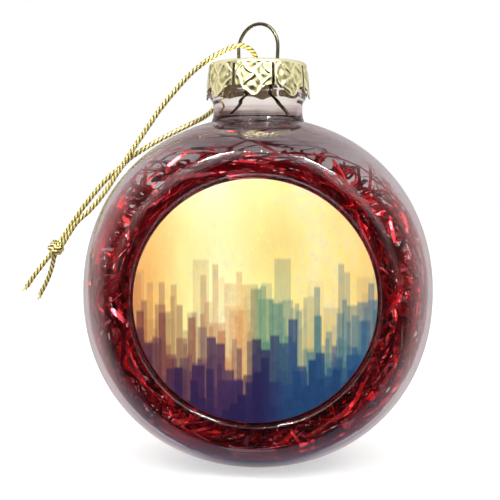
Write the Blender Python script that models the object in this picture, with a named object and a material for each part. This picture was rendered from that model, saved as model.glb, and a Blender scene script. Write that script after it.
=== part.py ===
"""Clear plastic Christmas ball with a round picture disc in its flat front.

The hollow ball holds loose film tinsel. A stamped crown cap sits on its neck, a bent wire hanger
passes through the cap, and a knotted gold cord runs through the wire's loop.

Frame: origin at the centre of the ball's small flat base, +Z up the neck, -Y out of the picture.
Every dimension below is in millimetres; heights called "z" are measured from the base.
"""

import math
import random

import bmesh
import bpy
from mathutils import Matrix, Vector

MM = 0.001
CURVE_STEPS = 12

# Ball: an 80 mm ball whose section is a slightly squared circle, cut off flat at the base.
BALL_RADIUS = 40.0
BALL_CENTRE_Z = 39.3
BALL_SQUARENESS = 2.1
SHELL_WALL = 1.6
BASE_WALL = 1.8
BALL_SEGMENTS = 48
BALL_STEP_DEG = 7.5

# Flat front with a round recess for the picture disc.
FRONT_Y = -26.0
RIM_FILLET = 2.0
RIM_FLAT_RADIUS = 29.4
RIM_LEAN_DEG = 50.0
SHOULDER_CLEAR_RADIUS = 36.0
RECESS_RADIUS = 25.9
RECESS_DEPTH = 2.2
DISC_RADIUS = 25.4
DISC_THICKNESS = 1.0
PAD_RADIUS = 24.4
PAD_THICKNESS = 0.6
SEAT_GAP = 0.3

# Neck with a collar that the crown cap's petals grip.
NECK_RADIUS = 10.2
BORE_RADIUS = 9.0
NECK_TOP_Z = 90.9
COLLAR_RADIUS = 11.3
COLLAR_LOW_Z = 83.2
COLLAR_HIGH_Z = 85.0
COLLAR_TAPER = 1.3

# Crown cap: a thin stamped cup whose wall is slit into pointed petals.
CAP_WALL = 0.3
CAP_TOP_Z = 91.5
CAP_TOP_RADIUS = 11.2
CAP_TIP_RADIUS = 12.1
CAP_CORNER = 0.8
CAP_TIP_Z = 83.3
CAP_VALLEY_Z = 85.7
CAP_SLIT_TOP_Z = 90.2
CAP_SLIT_WIDTH = 0.5
PETALS = 8
FIRST_SLIT_DEG = -26.5
CAP_SEGMENTS = 64
WIRE_HOLE_RADIUS = 0.75

# Wire hanger, bent in one upright plane that is turned about Z.
WIRE_DIAMETER = 0.7
WIRE_TURN_DEG = -38.0
WIRE_TOP_Z = 101.0
WIRE_ARCH_Z = 95.0
WIRE_HALF_GAP = 5.8
WIRE_LEG = [  # (distance from the axis, z) from the splayed foot past the waist to the straight leg
    (8.2, 79.2),
    (7.5, 80.5),
    (5.1, 83.0),
    (3.5, 85.6),
    (4.5, 87.2),
    (5.7, 88.6),
    (WIRE_HALF_GAP, 90.0),
    (WIRE_HALF_GAP, WIRE_ARCH_Z),
]
WIRE_POINT_STEP = 1.6

# Gold cord, one length knotted into a loop.
CORD_DIAMETER = 1.1
CORD_POINT_STEP = 2.6
KNOT_DIAMETER = 3.6

# Tinsel: film ribbons, each on its own sphere inside the ball so that none touches another.
STRANDS = 26
STRAND_WIDTH = 1.5
STRAND_THICKNESS = 0.22
STRAND_INNER_RADIUS = 22.4
STRAND_RADIUS_STEP = 0.56
STRAND_STEP_DEG = 12.0
STRAND_FRONT_LIMIT_Y = -20.8
STRAND_FEWEST_STATIONS = 8
STRAND_SEED = 11

# Cord route, by hand: from the knot up the outer strand, across the other one, behind the cap,
# through the wire's loop and back down to the knot.
CORD_LOOP_ROUTE = [
    (-46.0, 0.75, 50.8),
    (-42.9, 0.8, 55.5),
    (-40.0, 0.8, 59.5),
    (-35.6, 0.8, 64.7),
    (-31.7, 0.8, 68.1),
    (-29.4, 0.8, 70.2),
    (-25.2, 1.0, 72.9),
    (-21.9, 1.5, 74.8),
    (-18.5, 2.4, 76.6),
    (-15.4, 4.0, 78.3),
    (-12.9, 6.6, 79.9),
    (-10.9, 9.4, 82.0),
    (-9.3, 11.2, 85.0),
    (-8.0, 11.6, 88.3),
    (-7.0, 10.7, 91.0),
    (-5.7, 9.3, 92.4),
    (-4.1, 7.7, 92.5),
    (-2.2, 6.0, 92.4),
    (-0.8, 3.9, 92.6),
    (-0.6, 1.8, 93.4),
    (-1.6, 0.1, 94.7),
    (-3.3, -0.7, 95.5),
    (-5.2, -0.9, 95.4),
    (-7.5, -0.9, 94.5),
    (-11.2, -0.9, 92.5),
    (-15.4, -0.85, 89.2),
    (-19.3, -0.8, 85.0),
    (-22.5, -0.8, 81.1),
    (-25.0, -0.8, 77.5),
    (-27.6, -0.8, 73.7),
    (-29.8, -0.8, 70.4),
    (-32.6, -0.8, 66.2),
    (-35.2, -0.8, 62.3),
    (-38.6, -0.75, 58.2),
    (-42.1, -0.7, 54.9),
    (-45.2, -0.7, 50.2),
]
KNOT_CENTRE = (-47.0, 0.0, 49.1)
CORD_TAIL_ROUTES = {
    "cord_tail_outer": [
        (-48.3, -0.6, 47.5),
        (-50.0, -0.8, 45.3),
        (-51.9, -1.0, 42.8),
        (-53.7, -1.0, 40.2),
    ],
    "cord_tail_inner": [
        (-47.6, 0.8, 47.1),
        (-48.3, 0.9, 44.3),
        (-49.5, 1.0, 41.2),
        (-51.1, 1.0, 38.2),
    ],
}


def clear_scene():
    for scene_object in list(bpy.data.objects):
        bpy.data.objects.remove(scene_object, do_unlink=True)


def material(name, colour, roughness, metallic=0.0, alpha=1.0):
    made = bpy.data.materials.new(name)
    made.use_nodes = True
    shader = made.node_tree.nodes["Principled BSDF"]
    shader.inputs["Base Color"].default_value = (*colour, 1.0)
    shader.inputs["Roughness"].default_value = roughness
    shader.inputs["Metallic"].default_value = metallic
    shader.inputs["Alpha"].default_value = alpha
    return made


def add_object(name, data, look=None):
    made = bpy.data.objects.new(name, data)
    bpy.context.scene.collection.objects.link(made)
    if look is not None:
        data.materials.append(look)
    return made


def hide_form(form):
    form.hide_render = True
    form.display_type = "WIRE"
    return form


def finish_mesh(name, bm, smooth_deg=30.0):
    """Turns a bmesh drawn in millimetres into a mesh in metres with its faces pointing out."""
    bmesh.ops.scale(bm, vec=(MM, MM, MM), verts=bm.verts)
    bmesh.ops.recalc_face_normals(bm, faces=bm.faces)
    mesh = bpy.data.meshes.new(name)
    bm.to_mesh(mesh)
    bm.free()
    mesh.shade_smooth()
    mesh.set_sharp_from_angle(angle=math.radians(smooth_deg))
    return mesh


def turned(profile, segments):
    """Revolves (radius, height) points about Z. A point at radius 0 closes the form on its axis."""
    bm = bmesh.new()
    rings = []
    for radius, height in profile:
        if radius == 0.0:
            rings.append([bm.verts.new((0.0, 0.0, height))])
            continue
        ring = []
        for k in range(segments):
            angle = math.tau * k / segments
            ring.append(bm.verts.new((radius * math.cos(angle), radius * math.sin(angle), height)))
        rings.append(ring)
    for low, high in zip(rings, rings[1:]):
        for k in range(segments):
            nxt = (k + 1) % segments
            corners = []
            for vert in (low[k % len(low)], low[nxt % len(low)], high[nxt % len(high)], high[k % len(high)]):
                if vert not in corners:
                    corners.append(vert)
            bm.faces.new(corners)
    return bm


def facing_front(bm):
    """Turns a form revolved about Z so that its +Z end faces -Y, at the ball's centre height."""
    bmesh.ops.rotate(bm, cent=(0, 0, 0), matrix=Matrix.Rotation(math.radians(90.0), 3, "X"), verts=bm.verts)
    bmesh.ops.translate(bm, vec=(0, 0, BALL_CENTRE_Z), verts=bm.verts)
    return bm


def add_boolean(target, form, operation):
    cut = target.modifiers.new(form.name, "BOOLEAN")
    cut.operation = operation
    cut.solver = "EXACT"
    cut.object = form


def ball_height(radius, ball_radius):
    """Height above the ball's centre of its squared-circle section at this radius."""
    share = (radius / ball_radius) ** BALL_SQUARENESS
    return ball_radius * (1.0 - share) ** (1.0 / BALL_SQUARENESS)


def ball_section(ball_radius, low_z, neck_radius):
    """Section points from the flat base at low_z round the belly to the neck's radius."""
    drop = BALL_CENTRE_Z - low_z
    base_radius = ball_radius * (1.0 - (drop / ball_radius) ** BALL_SQUARENESS) ** (1.0 / BALL_SQUARENESS)
    points = [(0.0, low_z), (base_radius, low_z)]
    first = math.degrees(math.atan2(-drop, base_radius))
    last = math.degrees(math.atan2(ball_height(neck_radius, ball_radius), neck_radius))
    steps = round((last - first) / BALL_STEP_DEG)
    for k in range(1, steps):
        angle = math.radians(first + (last - first) * k / steps)
        across, up = abs(math.cos(angle)), abs(math.sin(angle))
        reach = ball_radius / (across**BALL_SQUARENESS + up**BALL_SQUARENESS) ** (1.0 / BALL_SQUARENESS)
        points.append((reach * math.cos(angle), BALL_CENTRE_Z + reach * math.sin(angle)))
    points.append((neck_radius, BALL_CENTRE_Z + ball_height(neck_radius, ball_radius)))
    return points


def front_form(name, inset):
    """A drum whose front end has the flat, the recess and the rounded rim, moved in by inset.

    Past the rim it leans back just outside the ball, and then clears the neck altogether.
    """
    front = -FRONT_Y - inset
    recess = RECESS_RADIUS + inset
    rim = max(RIM_FILLET - inset, 0.4)
    far = 2.0 * BALL_RADIUS
    lean = math.radians(RIM_LEAN_DEG)
    lean_front = front - rim * (1.0 - math.cos(lean))
    lean_radius = RIM_FLAT_RADIUS + rim * math.sin(lean)
    points = [(0.0, -far), (far, -far), (far, far), (SHOULDER_CLEAR_RADIUS, far)]
    points.append((SHOULDER_CLEAR_RADIUS, lean_front - (SHOULDER_CLEAR_RADIUS - lean_radius) * math.tan(lean)))
    for share in (1.0, 0.67, 0.33, 0.0):
        angle = lean * share
        points.append((RIM_FLAT_RADIUS + rim * math.sin(angle), front - rim * (1.0 - math.cos(angle))))
    points.append((recess, front))
    points.append((recess, front - RECESS_DEPTH))
    points.append((0.0, front - RECESS_DEPTH))
    return hide_form(add_object(name, finish_mesh(name, facing_front(turned(points, BALL_SEGMENTS)))))


def make_ball_shell():
    clear = material("clear_plastic", (0.9, 0.9, 0.92), 0.05, alpha=0.35)
    outside = ball_section(BALL_RADIUS, 0.0, NECK_RADIUS)
    outside += [
        (NECK_RADIUS, COLLAR_LOW_Z - COLLAR_TAPER),
        (COLLAR_RADIUS, COLLAR_LOW_Z),
        (COLLAR_RADIUS, COLLAR_HIGH_Z),
        (NECK_RADIUS, COLLAR_HIGH_Z + COLLAR_TAPER / 2.0),
        (NECK_RADIUS, NECK_TOP_Z),
        (0.0, NECK_TOP_Z),
    ]
    inside = ball_section(BALL_RADIUS - SHELL_WALL, BASE_WALL, BORE_RADIUS)
    inside += [(BORE_RADIUS, NECK_TOP_Z + 2.0), (0.0, NECK_TOP_Z + 2.0)]
    shell = add_object("ball_shell", finish_mesh("ball_shell", turned(outside, BALL_SEGMENTS)), clear)
    hollow_mesh = finish_mesh("hollow_form", turned(inside, BALL_SEGMENTS))
    hollow = hide_form(add_object("hollow_form", hollow_mesh))
    add_boolean(hollow, front_form("front_form_inside", SHELL_WALL), "INTERSECT")
    add_boolean(shell, front_form("front_form_outside", 0.0), "INTERSECT")
    add_boolean(shell, hollow, "DIFFERENCE")


def make_round_plate(name, radius, thickness, front_depth, look, edge=0.0):
    """A round plate in the recess, its front face front_depth behind the ball's flat."""
    front = -FRONT_Y - front_depth
    points = [(0.0, front - thickness), (radius, front - thickness)]
    if edge > 0.0:
        points += [(radius, front - edge), (radius - edge, front)]
    else:
        points.append((radius, front))
    points.append((0.0, front))
    add_object(name, finish_mesh(name, facing_front(turned(points, BALL_SEGMENTS))), look)


def make_picture():
    printed = material("printed_disc", (0.85, 0.72, 0.35), 0.35, metallic=0.2)
    adhesive = material("adhesive_pad", (0.9, 0.9, 0.88), 0.7)
    make_round_plate("picture_disc", DISC_RADIUS, DISC_THICKNESS, 0.0, printed, edge=0.15)
    make_round_plate("adhesive_pad", PAD_RADIUS, PAD_THICKNESS, DISC_THICKNESS + SEAT_GAP, adhesive)


def cap_outside_radius(z):
    """Outside radius of the crown's wall, which flares evenly from its top to its tips."""
    share = (CAP_TOP_Z - z) / (CAP_TOP_Z - CAP_TIP_Z)
    return CAP_TOP_RADIUS + (CAP_TIP_RADIUS - CAP_TOP_RADIUS) * share


def cap_section():
    """Closed section of the crown before it is slit: out over the top, down, and back up inside."""
    corner = [(CAP_TOP_RADIUS - CAP_CORNER, CAP_TOP_Z)]
    for degrees in (30.0, 60.0, 90.0):
        angle = math.radians(degrees)
        drop = CAP_CORNER * (1.0 - math.cos(angle))
        corner.append((CAP_TOP_RADIUS - CAP_CORNER * (1.0 - math.sin(angle)), CAP_TOP_Z - drop))
    outside = corner + [(cap_outside_radius(z), z) for z in (CAP_VALLEY_Z, CAP_TIP_Z)]
    inside = [(cap_outside_radius(z) - CAP_WALL, z) for z in (CAP_TIP_Z, CAP_VALLEY_Z)]
    inside.append((CAP_TOP_RADIUS - CAP_WALL, CAP_TOP_Z - CAP_CORNER))
    inside.append((CAP_TOP_RADIUS - CAP_CORNER, CAP_TOP_Z - CAP_WALL))
    return [(0.0, CAP_TOP_Z)] + outside + inside + [(0.0, CAP_TOP_Z - CAP_WALL)]


def petal_cutter():
    """One wedge per petal gap: a thin slit above a V that leaves pointed tips on both sides."""
    bm = bmesh.new()
    near, far = CAP_TOP_RADIUS - 2.0, CAP_TIP_RADIUS + 2.0
    half_tip = math.pi * CAP_TIP_RADIUS / PETALS
    below = CAP_TIP_Z - 0.6
    reach = half_tip * (CAP_VALLEY_Z - below) / (CAP_VALLEY_Z - CAP_TIP_Z) * 0.98
    slit = CAP_SLIT_WIDTH / 2.0
    outline = [
        (-slit, CAP_SLIT_TOP_Z),
        (-slit, CAP_VALLEY_Z),
        (-reach, below),
        (reach, below),
        (slit, CAP_VALLEY_Z),
        (slit, CAP_SLIT_TOP_Z),
    ]
    for k in range(PETALS):
        angle = math.radians(FIRST_SLIT_DEG + 360.0 * k / PETALS)
        outward = Vector((math.sin(angle), -math.cos(angle), 0.0))
        across = Vector((math.cos(angle), math.sin(angle), 0.0))
        ends = []
        for reach_out in (near, far):
            spread = reach_out / CAP_TIP_RADIUS
            ring = []
            for offset, z in outline:
                side = offset if abs(offset) <= slit else offset * spread
                ring.append(bm.verts.new(outward * reach_out + across * side + Vector((0, 0, z))))
            ends.append(ring)
        bm.faces.new(ends[0])
        bm.faces.new(list(reversed(ends[1])))
        for a in range(len(outline)):
            b = (a + 1) % len(outline)
            bm.faces.new((ends[0][a], ends[0][b], ends[1][b], ends[1][a]))
    return hide_form(add_object("petal_cutter", finish_mesh("petal_cutter", bm)))


def wire_point(across, z):
    """A point of the hanger's plane, at this distance from the axis and this height."""
    turn = math.radians(WIRE_TURN_DEG)
    return Vector((across * math.cos(turn), across * math.sin(turn), z))


def wire_hole_cutter():
    bm = bmesh.new()
    for side in (-1.0, 1.0):
        centre = wire_point(side * WIRE_HALF_GAP, CAP_TOP_Z)
        bmesh.ops.create_cone(
            bm,
            cap_ends=True,
            segments=12,
            radius1=WIRE_HOLE_RADIUS,
            radius2=WIRE_HOLE_RADIUS,
            depth=4.0 * CAP_WALL,
            matrix=Matrix.Translation(centre),
        )
    return hide_form(add_object("wire_hole_cutter", finish_mesh("wire_hole_cutter", bm)))


def make_crown_cap():
    gold = material("gold_cap", (0.78, 0.66, 0.34), 0.25, metallic=1.0)
    mesh = finish_mesh("crown_cap", turned(cap_section(), CAP_SEGMENTS))
    cap = add_object("crown_cap", mesh, gold)
    add_boolean(cap, petal_cutter(), "DIFFERENCE")
    add_boolean(cap, wire_hole_cutter(), "DIFFERENCE")


def catmull_rom(points, steps):
    """A smooth curve through every point, with this many samples in each stretch."""
    padded = [2 * points[0] - points[1]] + points + [2 * points[-1] - points[-2]]
    samples = []
    for k in range(len(points) - 1):
        a, b, c, d = padded[k : k + 4]
        for s in range(steps):
            t = s / steps
            samples.append(
                0.5
                * (
                    2 * b
                    + (c - a) * t
                    + (2 * a - 5 * b + 4 * c - d) * t * t
                    + (3 * b - a - 3 * c + d) * t * t * t
                )
            )
    samples.append(points[-1].copy())
    return samples


def evenly_spaced(samples, step):
    """Reads points from a sampled curve at equal distances close to step."""
    lengths = [(b - a).length for a, b in zip(samples, samples[1:])]
    total = sum(lengths)
    count = max(2, round(total / step))
    wanted = [total * k / count for k in range(1, count)]
    points = [samples[0]]
    walked = 0.0
    for a, b, length in zip(samples, samples[1:], lengths):
        while wanted and walked + length >= wanted[0]:
            points.append(a.lerp(b, (wanted.pop(0) - walked) / length))
        walked += length
    points.append(samples[-1])
    return points


def make_tube(name, points, diameter, look):
    curve = bpy.data.curves.new(name, "CURVE")
    curve.dimensions = "3D"
    curve.bevel_depth = diameter * MM / 2.0
    curve.bevel_resolution = 2
    curve.resolution_u = 1
    curve.render_resolution_u = 1
    curve.use_fill_caps = True
    spline = curve.splines.new("POLY")
    spline.points.add(len(points) - 1)
    for place, point in zip(spline.points, points):
        place.co = (*(point * MM), 1.0)
    return add_object(name, curve, look)


def wire_route():
    """Route of one bent wire: up one leg, round the loop and back down the other leg."""
    arch = []
    for degrees in range(20, 180, 20):
        angle = math.radians(degrees)
        rise = (WIRE_TOP_Z - WIRE_ARCH_Z) * math.sin(angle)
        arch.append((WIRE_HALF_GAP * math.cos(angle), WIRE_ARCH_Z + rise))
    route = WIRE_LEG + arch + [(-across, z) for across, z in reversed(WIRE_LEG)]
    return [wire_point(across, z) for across, z in route]


def make_wire_hanger():
    bronze = material("bronze_wire", (0.16, 0.12, 0.07), 0.35, metallic=1.0)
    points = evenly_spaced(catmull_rom(wire_route(), CURVE_STEPS), WIRE_POINT_STEP)
    make_tube("wire_hanger", points, WIRE_DIAMETER, bronze)


def make_cord():
    gold = material("gold_cord", (0.72, 0.6, 0.2), 0.45, metallic=0.5)
    route = [Vector(point) for point in CORD_LOOP_ROUTE]
    points = evenly_spaced(catmull_rom(route, CURVE_STEPS), CORD_POINT_STEP)
    make_tube("cord_loop", points, CORD_DIAMETER, gold)
    for name, tail in CORD_TAIL_ROUTES.items():
        samples = catmull_rom([Vector(point) for point in tail], CURVE_STEPS)
        make_tube(name, evenly_spaced(samples, CORD_POINT_STEP), CORD_DIAMETER, gold)
    bm = bmesh.new()
    bmesh.ops.create_icosphere(
        bm, subdivisions=3, radius=KNOT_DIAMETER / 2.0, matrix=Matrix.Translation(KNOT_CENTRE)
    )
    add_object("cord_knot", finish_mesh("cord_knot", bm), gold)


def strand_points(radius, source):
    """The longest stretch of a tilted circle on a sphere that stays behind the flat front."""
    centre = Vector((0.0, 0.0, BALL_CENTRE_Z))
    tilt = Vector((source.uniform(-0.6, 0.6), 1.0, source.uniform(-0.6, 0.6))).normalized()
    offset = radius * source.uniform(-0.5, 0.55)
    start = source.uniform(0.0, 360.0)
    sweep = source.uniform(150.0, 230.0)
    side = tilt.cross(Vector((0.0, 0.0, 1.0))).normalized()
    up = side.cross(tilt)
    circle = math.sqrt(radius * radius - offset * offset)
    best, run = [], []
    for k in range(int(sweep / STRAND_STEP_DEG) + 1):
        angle = math.radians(start + k * STRAND_STEP_DEG)
        point = tilt * offset + side * circle * math.cos(angle) + up * circle * math.sin(angle)
        if point.y > STRAND_FRONT_LIMIT_Y:
            run.append((centre + point, point.normalized()))
            best = max(best, run, key=len)
        else:
            run = []
    return list(best)


def make_ribbon(name, stations, look):
    """A thin flat ribbon along points, lying flat on the sphere that they are on."""
    bm = bmesh.new()
    rings = []
    for k, (point, outward) in enumerate(stations):
        before = stations[max(k - 1, 0)][0]
        after = stations[min(k + 1, len(stations) - 1)][0]
        across = (after - before).cross(outward).normalized() * STRAND_WIDTH / 2.0
        lift = outward * STRAND_THICKNESS / 2.0
        corners = (across + lift, lift - across, -across - lift, across - lift)
        rings.append([bm.verts.new(point + corner) for corner in corners])
    bm.faces.new(rings[0])
    bm.faces.new(list(reversed(rings[-1])))
    for low, high in zip(rings, rings[1:]):
        for a in range(4):
            b = (a + 1) % 4
            bm.faces.new((low[a], low[b], high[b], high[a]))
    add_object(name, finish_mesh(name, bm), look)


def make_tinsel():
    film = material("red_film", (0.45, 0.01, 0.02), 0.2, metallic=0.9)
    source = random.Random(STRAND_SEED)
    for k in range(STRANDS):
        radius = STRAND_INNER_RADIUS + k * STRAND_RADIUS_STEP
        stations = strand_points(radius, source)
        while len(stations) < STRAND_FEWEST_STATIONS:
            stations = strand_points(radius, source)
        make_ribbon(f"tinsel_strand_{k + 1:02d}", stations, film)


clear_scene()
make_ball_shell()
make_picture()
make_crown_cap()
make_wire_hanger()
make_cord()
make_tinsel()
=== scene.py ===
"""Looks of the clear Christmas ball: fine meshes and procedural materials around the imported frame.

Lengths are in millimetres until a mesh is made; the frame's origin is the centre of the ball's base.
"""

import random
from math import atan2, cos, exp, hypot, pi, radians, sin, tau

import bmesh
import bpy
import numpy as np
from mathutils import Matrix, Vector


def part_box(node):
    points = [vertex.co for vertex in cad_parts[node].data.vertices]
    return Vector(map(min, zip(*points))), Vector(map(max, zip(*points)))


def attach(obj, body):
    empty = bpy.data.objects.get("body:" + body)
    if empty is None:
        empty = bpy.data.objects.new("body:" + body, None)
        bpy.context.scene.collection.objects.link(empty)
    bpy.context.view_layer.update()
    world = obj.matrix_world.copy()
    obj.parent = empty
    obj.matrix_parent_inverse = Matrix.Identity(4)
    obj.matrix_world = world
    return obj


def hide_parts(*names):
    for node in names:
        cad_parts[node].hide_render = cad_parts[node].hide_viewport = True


MM = 0.001

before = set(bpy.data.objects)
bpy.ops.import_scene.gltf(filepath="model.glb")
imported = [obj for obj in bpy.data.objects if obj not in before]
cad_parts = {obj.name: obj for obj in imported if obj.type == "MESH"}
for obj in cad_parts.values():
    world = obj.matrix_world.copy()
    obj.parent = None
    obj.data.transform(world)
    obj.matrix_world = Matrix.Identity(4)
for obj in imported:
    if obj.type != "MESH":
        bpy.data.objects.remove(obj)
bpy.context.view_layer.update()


def box_mm(node):
    low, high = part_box(node)
    return low / MM, high / MM


# Places and sizes read from the frame.
SHELL_LOW, SHELL_HIGH = box_mm("ball_shell")
DISC_LOW, DISC_HIGH = box_mm("picture_disc")
PAD_LOW, PAD_HIGH = box_mm("adhesive_pad")
CAP_LOW, CAP_HIGH = box_mm("crown_cap")
BALL_RADIUS = SHELL_HIGH.x
BALL_CENTRE = Vector((0.0, 0.0, (DISC_LOW.z + DISC_HIGH.z) / 2.0))
FRONT_Y = SHELL_LOW.y
NECK_TOP_Z = SHELL_HIGH.z
DISC_RADIUS = (DISC_HIGH.x - DISC_LOW.x) / 2.0
CAP_TOP_Z = CAP_HIGH.z
CAP_TIP_Z = CAP_LOW.z
CAP_TIP_RADIUS = max(CAP_HIGH.x, CAP_HIGH.y)

# Ball: the frame's outside with rounded rims, and a thinner wall.
BALL_SQUARENESS = 2.1
SHELL_WALL = 1.0
BASE_WALL = 2.0
FRONT_ROUNDING = 55.0
BASE_ROUNDING = 150.0
RECESS_RADIUS = 25.9
RECESS_DEPTH = 2.2
RECESS_FILLET = 0.4
RECESS_EDGE = 1.2
RECESS_WALL = 0.55
FLAT_RADIUS = 27.9
NECK_RADIUS = 10.2
NECK_ROOT_DEPTH = 15.0
NECK_FLARE = ((0.55, 77.9), (0.3, 78.7), (0.08, 79.4), (0.0, 80.2))
NECK_LIP = 0.4
BORE_RADIUS = 9.0
BORE_LIP = ((0.0, -0.4), (0.1, -0.15), (0.35, 0.0), (0.35, 2.0))
COLLAR_SWELL = 1.1
COLLAR_LOW_Z = 81.6
COLLAR_HIGH_Z = 86.2
BALL_COLUMNS = 224
NECK_COLUMNS = 160

# Picture disc and pad.
DISC_EDGE = 0.15
DISC_COLUMNS = 192
PAD_EDGE = 0.1
PAD_COLUMNS = 128

# Colours of the print from left to right, as stops of place, red, green and blue; the sky's by haze.
SKY_TONES = [(0.45, 255, 252, 205), (0.55, 251, 236, 148), (0.65, 240, 194, 100)]
GLOW_TONES = [
    (0.0, 228, 120, 74),
    (0.08, 244, 178, 104),
    (0.2, 252, 244, 168),
    (0.36, 255, 255, 208),
    (0.52, 253, 250, 166),
    (0.72, 248, 214, 134),
    (1.0, 236, 190, 112),
]
WARM_TONES = [
    (0.0, 128, 56, 52),
    (0.2, 122, 64, 62),
    (0.36, 190, 128, 84),
    (0.45, 214, 150, 84),
    (0.52, 84, 136, 110),
    (0.7, 60, 122, 124),
    (1.0, 36, 102, 132),
]
DEEP_TONES = [
    (0.0, 92, 36, 50),
    (0.18, 72, 34, 74),
    (0.4, 56, 28, 84),
    (0.54, 44, 30, 84),
    (0.62, 24, 62, 112),
    (1.0, 16, 80, 128),
]
LOWEST_TONES = [(0.0, 70, 26, 60), (0.3, 40, 20, 78), (0.52, 30, 20, 80), (0.66, 14, 62, 112)]

# Crown cap.
CAP_WALL = 0.3
CAP_TOP_RADIUS = 11.2
CAP_CORNER = 0.8
CAP_VALLEY_Z = 85.7
CAP_SLIT_TOP_Z = 90.6
CAP_SLIT_DEG = 3.4
CAP_STAMP = 0.16
PLAIN_RELIEF = 0.6
CAP_SEED = 3
PETALS = 8
PETAL_COLUMNS = 44
PETAL_ROWS = 46
FIRST_SLIT_DEG = -26.5
WIRE_HOLE_RADIUS = 0.75

# Wire hanger and cord, close to the frame's own routes.
WIRE_DIAMETER = 0.78
WIRE_TURN_DEG = -38.0
WIRE_TOP_Z = 100.55
WIRE_ARCH_Z = 95.0
WIRE_HALF_GAP = 5.8
WIRE_LEG = [
    (8.5, 78.8), (7.5, 80.5), (5.1, 83.0), (3.5, 85.6), (4.5, 87.2),
    (5.3, 88.6), (5.5, 90.0), (5.65, 91.5), (WIRE_HALF_GAP, WIRE_ARCH_Z),
]
CORD_DIAMETER = 1.1
CORD_PLIES = 3
CORD_PITCH = 3.5
CORD_ROUTE = [
    (-53.7, -1.0, 40.2), (-51.9, -1.0, 42.8), (-50.0, -0.8, 45.3), (-48.3, -0.6, 47.5),
    (-46.9, -0.3, 49.3), (-46.0, 0.75, 50.8), (-42.9, 0.8, 55.5), (-40.0, 0.8, 59.5),
    (-35.6, 0.8, 64.7), (-31.7, 0.8, 68.1), (-29.4, 0.8, 70.2), (-25.2, 1.0, 72.9),
    (-21.9, 1.5, 74.8), (-18.5, 2.4, 76.6), (-15.4, 4.0, 78.3), (-12.9, 6.6, 79.9),
    (-10.9, 9.4, 82.0), (-9.3, 11.2, 85.0), (-8.0, 11.6, 88.3), (-7.0, 10.7, 91.0),
    (-5.7, 9.3, 92.4), (-4.1, 7.7, 92.5), (-2.2, 6.0, 92.4), (-0.8, 3.9, 92.6),
    (-0.6, 1.8, 93.4), (-1.6, 0.1, 94.7), (-3.3, -0.7, 95.5), (-5.2, -0.9, 95.4),
    (-7.5, -0.9, 94.5), (-11.2, -0.9, 92.5), (-15.4, -0.85, 89.2), (-19.3, -0.8, 85.0),
    (-22.5, -0.8, 81.1), (-25.0, -0.8, 77.5), (-27.6, -0.8, 73.7), (-29.8, -0.8, 70.4),
    (-32.6, -0.8, 66.2), (-35.2, -0.8, 62.3), (-38.6, -0.75, 58.2), (-42.1, -0.7, 54.9),
    (-45.2, -0.7, 50.2), (-46.6, 0.2, 48.9), (-47.6, 0.8, 47.1), (-48.3, 0.9, 44.3),
    (-49.5, 1.0, 41.2), (-51.1, 1.0, 38.2),
]
KNOT_CENTRE = Vector((-47.0, 0.0, 49.1))
KNOT_AXIS = Vector((0.62, 0.0, 0.78))
KNOT_TURNS = 2.3
KNOT_LENGTH = 2.1
KNOT_RADIUS = 1.25
FRAY_HAIRS = 7

# Tinsel film.
TUFTS = 26
RIBBONS_PER_TUFT = 44
EDGE_RIBBONS_PER_TUFT = 12
CREST_RIBBONS_PER_TUFT = 5
RIBBON_STEP = 1.3
RIBBON_THICKNESS = 0.05
RIBBON_SHADES = (0.0, 0.1, 0.25, 0.4, 0.55, 0.7)
# Lighter tones for strands along the outline, which lie in shade: painted light.
EDGE_PAINTED_LIGHT_TONES = (0.3, 0.5, 0.7, 0.8)
# Darker tones for strands behind the rim over the picture: painted shade.
CREST_PAINTED_SHADE_TONES = (0.0, 0.1, 0.25, 0.4)
RIBBON_WIDTHS = (0.3, 0.4, 0.5, 0.6, 0.75, 0.9, 1.1, 1.2)
SHARP_CREASE = 0.5
SLIGHT_BEND = 0.02
TINSEL_REACH = 38.75
TINSEL_FRONT_Y = -22.3
TINSEL_RIM_Y = -24.3
TINSEL_STEP_RADIUS = RECESS_RADIUS + 1.8
TINSEL_SEED = 5

# Camera: close to the front, a little above the ball's middle.
CAMERA_DISTANCE = 243.0
CAMERA_RISE = 20.9
CAMERA_SIDE_DEG = 1.4
CAMERA_PITCH_DEG = 2.7
CAMERA_TURN_DEG = 0.43
CAMERA_LENS = 75.7

# Stage, in metres and watts.
LAMP_AIM = Vector((0.0, 0.0, 0.04))
KEY_SIZE = (0.55, 0.55)
KEY_POWER = 1.4
SHINE_SIZE = (0.09, 0.22)
SHINE_POWER = 6.5
BULBS = 13
BULB_SIZE = (0.008, 0.014)
BULB_POWER = 0.12
FLOOR_HALF_SIDE = 9.0
FLOOR_GAP = 0.0002

BLACK = (0.0, 0.0, 0.0)
WHITE = (1.0, 1.0, 1.0)


# ---- mesh helpers


def add_object(data, look=None):
    """An object with the name of its mesh, lamp or camera."""
    made = bpy.data.objects.new(data.name, data)
    bpy.context.scene.collection.objects.link(made)
    if look is not None:
        data.materials.append(look)
    return made


def mesh_of(name, bm):
    """Turns an edit mesh into a mesh and frees it."""
    mesh = bpy.data.meshes.new(name)
    bm.to_mesh(mesh)
    bm.free()
    return mesh


def finish_cut(made, look, smooth_deg):
    """One material and smooth shading for a piece whose shape came from cuts."""
    made.data.materials.clear()
    made.data.materials.append(look)
    made.data.shade_smooth()
    made.data.set_sharp_from_angle(angle=radians(smooth_deg))


def next_ring(points, count):
    """The numbers of the next count points to be added."""
    return list(range(len(points), len(points) + count))


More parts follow.
